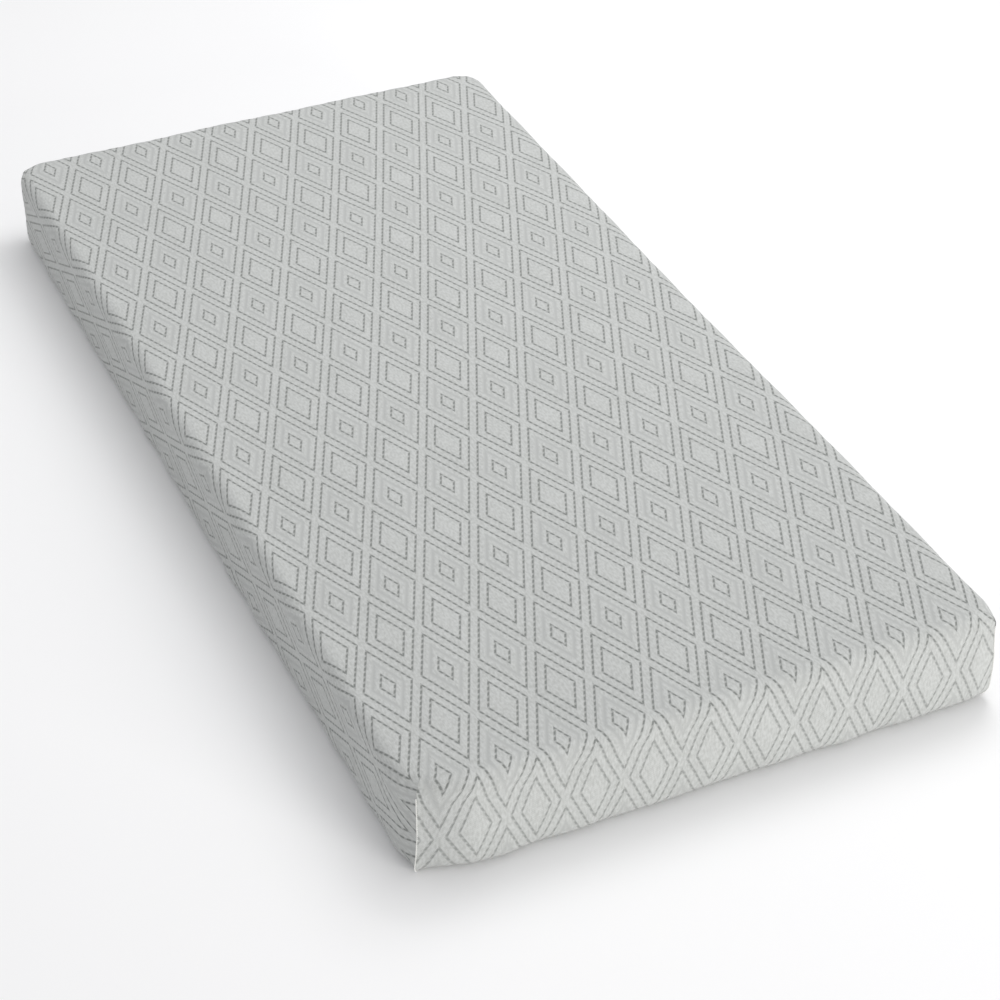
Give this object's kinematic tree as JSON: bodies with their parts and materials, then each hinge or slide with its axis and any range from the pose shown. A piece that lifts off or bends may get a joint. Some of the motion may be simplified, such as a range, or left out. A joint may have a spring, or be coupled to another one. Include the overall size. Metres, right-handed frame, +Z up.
{
  "type": "memory foam mattress",
  "caption": "Rectangular foam mattress for a cot, in a quilted-look knitted cover that zips open along one long side.",
  "frame": {"origin": "centre of the underside, on the surface that the mattress lies on", "axes": "+X across the width towards the zip side, +Y along the length, +Z up through the sleeping face"},
  "size_m": [0.6, 1.2, 0.1],
  "materials": {
    "knitted_jacquard": "soft matt jacquard knit with woven-in dashed diamonds",
    "plain_base_knit": "matt plain knit",
    "sewing_thread": "spun polyester thread",
    "liner_knit": "thin matt knit",
    "memory_foam": "open-cell viscoelastic polyurethane foam",
    "support_foam": "open-cell polyurethane foam",
    "zip_tape": "woven polyester tape",
    "zip_coil": "polyester monofilament coil",
    "zip_metal": "die-cast, nickel plated",
    "label_satin": "blank woven satin"
  },
  "bodies": {
    "mattress": {"cover_top_panel": "knitted_jacquard", "cover_base_panel": "plain_base_knit", "corner_seam_thread_near_left": "sewing_thread", "corner_seam_thread_near_right": "sewing_thread", "corner_seam_thread_far_right": "sewing_thread", "corner_seam_thread_far_left": "sewing_thread", "base_seam_thread": "sewing_thread", "inner_liner": "liner_knit", "memory_foam_layer": "memory_foam", "support_foam_core": "support_foam", "zip_tape_upper": "zip_tape", "zip_tape_lower": "zip_tape", "zip_coil_upper": "zip_coil", "zip_coil_lower": "zip_coil", "zip_top_stop_upper": "zip_metal", "zip_top_stop_lower": "zip_metal", "zip_bottom_stop": "zip_metal", "zip_stitching_upper": "sewing_thread", "zip_stitching_lower": "sewing_thread", "zip_bartack_near": "sewing_thread", "zip_bartack_far": "sewing_thread", "care_label": "label_satin"},
    "zip_slider": {"zip_slider_body": "zip_metal"},
    "zip_pull": {"zip_pull_tab": "zip_metal"}
  },
  "joints": [
    {"name": "zip_slide", "type": "slide", "parent": "mattress", "child": "zip_slider", "axis": [0, -1, 0], "range_m": [0, 0.994]},
    {"name": "pull_flip", "type": "hinge", "parent": "zip_slider", "child": "zip_pull", "pos_m": [0.29805, 0.4982, 0.026], "axis": [0, 0, 1], "range_deg": [0, 175]}
  ]
}
